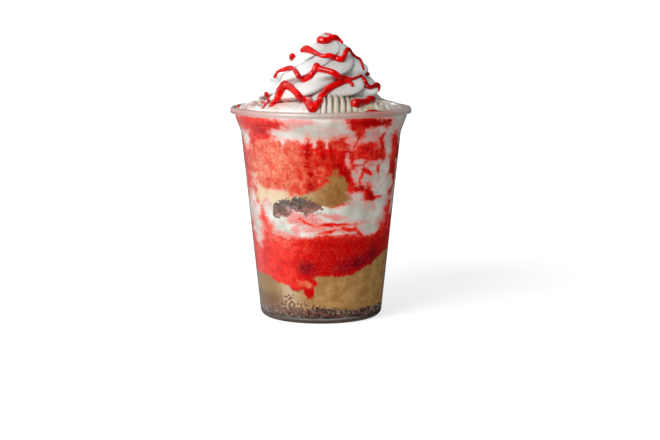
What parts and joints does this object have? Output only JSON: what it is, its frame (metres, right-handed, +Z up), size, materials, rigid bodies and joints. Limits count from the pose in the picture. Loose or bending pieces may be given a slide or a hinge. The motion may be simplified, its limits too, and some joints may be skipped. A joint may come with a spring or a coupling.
{
  "type": "strawberry sundae",
  "caption": "Layered strawberry cheesecake sundae in a clear tapered cup with a rolled rim, topped with piped whipped cream and strings of strawberry sauce.",
  "frame": {"origin": "middle of the cup's foot, on the surface that the cup stands on", "axes": "+Z up along the axis of the cup, -Y towards the front side, +X to the right of the front side"},
  "size_m": [0.098, 0.098, 0.154],
  "materials": {
    "clear_plastic": "clear thin plastic, glossy",
    "crumb": "dark biscuit crumb, dry and rough",
    "cheesecake": "baked cheesecake, fine and slightly open",
    "strawberry_sauce": "glossy strawberry sauce with crushed fruit",
    "cream": "soft cream marbled with sauce",
    "whipped_cream": "piped whipped cream, satin"
  },
  "bodies": {
    "root": {"cup": "clear_plastic", "crumb_base": "crumb", "cheesecake_lower": "cheesecake", "strawberry_sauce_lower": "strawberry_sauce", "cream_lower": "cream", "crumb_crust_upper": "crumb", "cheesecake_upper": "cheesecake", "strawberry_sauce_upper": "strawberry_sauce", "cream_upper": "cream", "sauce_pool_1": "strawberry_sauce", "sauce_pool_2": "strawberry_sauce", "sauce_pool_3": "strawberry_sauce", "sauce_pool_4": "strawberry_sauce", "whipped_cream": "whipped_cream"}
  },
  "joints": []
}
